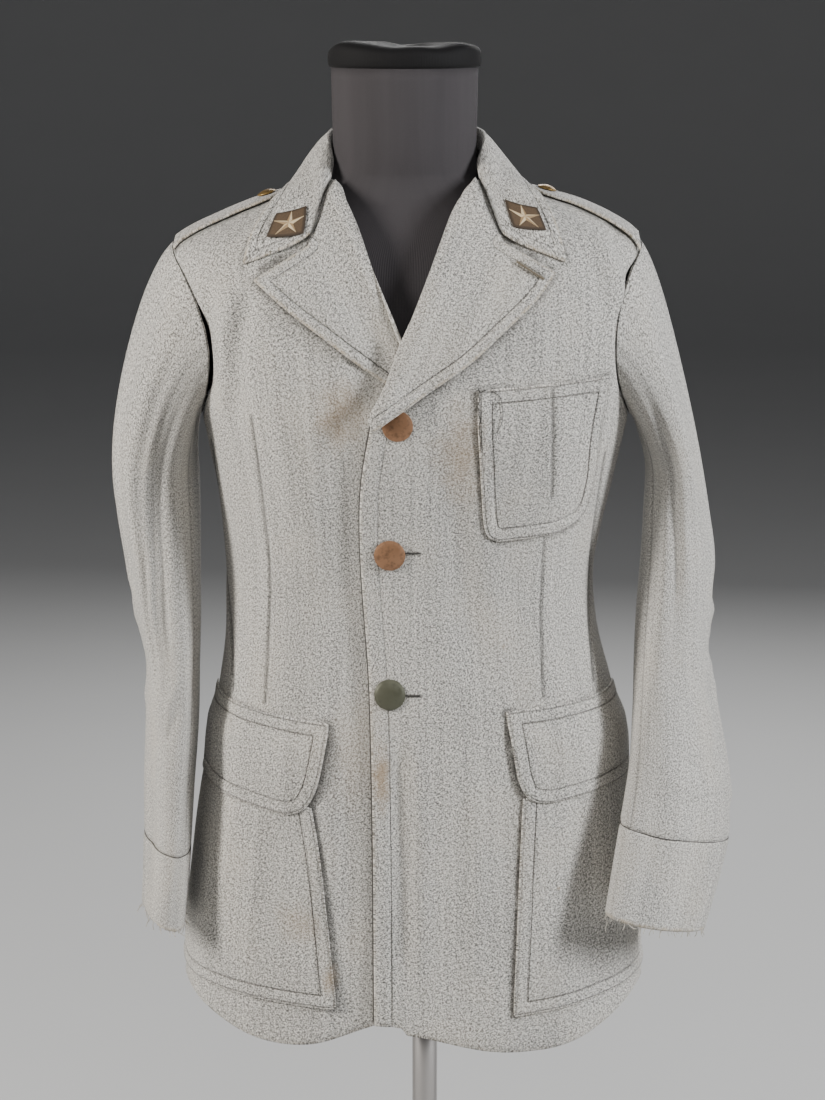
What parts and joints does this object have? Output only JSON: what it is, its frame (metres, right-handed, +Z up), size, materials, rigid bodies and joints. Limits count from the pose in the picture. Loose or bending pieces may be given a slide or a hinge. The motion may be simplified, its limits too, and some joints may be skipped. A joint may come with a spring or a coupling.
{
  "type": "military tunic on a dress form with a stand",
  "caption": "Grey wool uniform tunic with turned-down collar, lapels, patch pockets and shoulder straps, worn by a black limbless dress form on a chrome pole with a round foot.",
  "frame": {"origin": "middle of the foot's flat underside, on the floor under the pole", "axes": "+Z up along the pole; the front of the tunic faces -Y and the wearer's left is at +X"},
  "size_m": [0.5647, 0.3, 1.1899],
  "materials": {
    "wool": "light grey melange wool",
    "patch": "brown woven cloth",
    "copper": "worn coppered brass",
    "bronze": "dull grey-green patina",
    "brass": "aged brass",
    "jersey": "black jersey",
    "chrome": "polished",
    "enamel": "black enamel"
  },
  "bodies": {
    "root": {"front_left": "wool", "front_right": "wool", "back_left": "wool", "back_right": "wool", "sleeve_left": "wool", "sleeve_right": "wool", "cuff_left": "wool", "cuff_right": "wool", "collar": "wool", "lapel_left": "wool", "lapel_right": "wool", "breast_pocket": "wool", "hip_flap_left": "wool", "hip_flap_right": "wool", "hip_pocket_left": "wool", "hip_pocket_right": "wool", "epaulette_left": "wool", "epaulette_right": "wool", "collar_patch_left": "patch", "collar_patch_right": "patch", "button_1": "copper", "button_2": "copper", "button_3": "bronze", "epaulette_button_left": "brass", "epaulette_button_right": "brass", "form_torso": "jersey", "form_cap": "jersey", "stand_pole": "chrome", "stand_socket": "chrome", "stand_foot": "enamel"}
  },
  "joints": []
}
